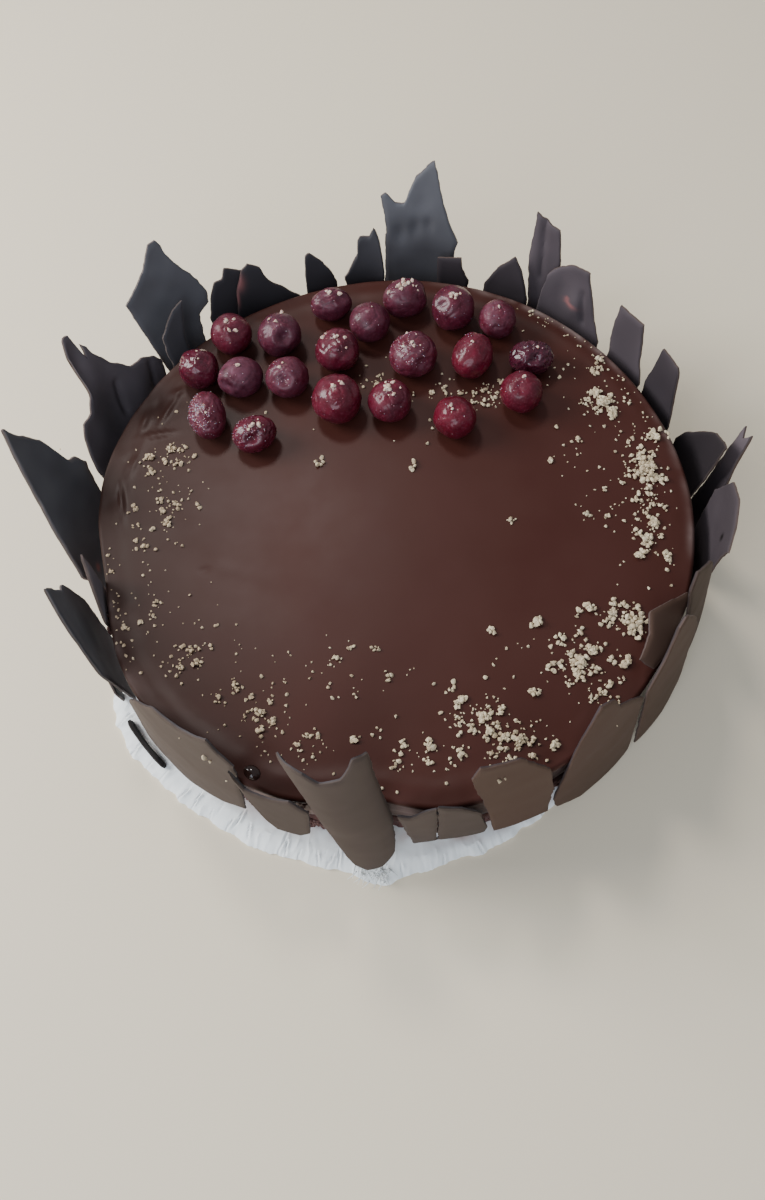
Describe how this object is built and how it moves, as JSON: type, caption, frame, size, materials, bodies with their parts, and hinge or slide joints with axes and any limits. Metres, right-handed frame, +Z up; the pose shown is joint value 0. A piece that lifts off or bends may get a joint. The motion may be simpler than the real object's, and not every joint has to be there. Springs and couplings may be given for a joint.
{
  "type": "black forest cake",
  "caption": "Round glazed chocolate mousse cake on a sponge base, topped with cherries and chopped nuts, ringed by upright chocolate shards, standing on crinkled white paper.",
  "frame": {"origin": "middle of the cake's circle, on the flat underside of the paper that it stands on", "axes": "+Z up; -Y is the front of the cake as seen, +X its right side; the cherries lie towards +Y"},
  "size_m": [0.281, 0.2743, 0.1097],
  "materials": {
    "white_paper": "matte white paper",
    "cherry_soaked_sponge": "matte crumb",
    "chocolate_mousse": "smooth matte cream",
    "chocolate_glaze": "satin glaze with pale chopped nuts",
    "cherry_skin": "glossy wrinkled skin, partly frosted",
    "dark_chocolate": "satin dark chocolate"
  },
  "bodies": {
    "root": {"cherry_01": "cherry_skin", "cherry_02": "cherry_skin", "cherry_03": "cherry_skin", "cherry_04": "cherry_skin", "cherry_05": "cherry_skin", "cherry_06": "cherry_skin", "cherry_07": "cherry_skin", "cherry_08": "cherry_skin", "cherry_09": "cherry_skin", "cherry_10": "cherry_skin", "cherry_11": "cherry_skin", "cherry_12": "cherry_skin", "cherry_13": "cherry_skin", "cherry_14": "cherry_skin", "cherry_15": "cherry_skin", "cherry_16": "cherry_skin", "cherry_17": "cherry_skin", "cherry_18": "cherry_skin", "cherry_19": "cherry_skin", "cherry_20": "cherry_skin", "glaze_top": "chocolate_glaze", "mousse": "chocolate_mousse", "paper_liner": "white_paper", "shard_01_roll": "dark_chocolate", "shard_02": "dark_chocolate", "shard_03": "dark_chocolate", "shard_04": "dark_chocolate", "shard_05": "dark_chocolate", "shard_06": "dark_chocolate", "shard_07_flap": "dark_chocolate", "shard_08": "dark_chocolate", "shard_09": "dark_chocolate", "shard_10_spike": "dark_chocolate", "shard_11_cup": "dark_chocolate", "shard_12": "dark_chocolate", "shard_13": "dark_chocolate", "shard_14": "dark_chocolate", "shard_15_tall": "dark_chocolate", "shard_16": "dark_chocolate", "shard_17": "dark_chocolate", "shard_18_back": "dark_chocolate", "shard_19_curl": "dark_chocolate", "shard_20": "dark_chocolate", "shard_21": "dark_chocolate", "shard_22": "dark_chocolate", "shard_23_kite": "dark_chocolate", "shard_24_sliver": "dark_chocolate", "shard_25_hook": "dark_chocolate", "shard_26_left": "dark_chocolate", "shard_27_strip": "dark_chocolate", "shard_28": "dark_chocolate", "shard_29_chip": "dark_chocolate", "shard_30_long": "dark_chocolate", "shard_31_fallen": "dark_chocolate", "shard_32": "dark_chocolate", "sponge_base": "cherry_soaked_sponge"}
  },
  "joints": []
}
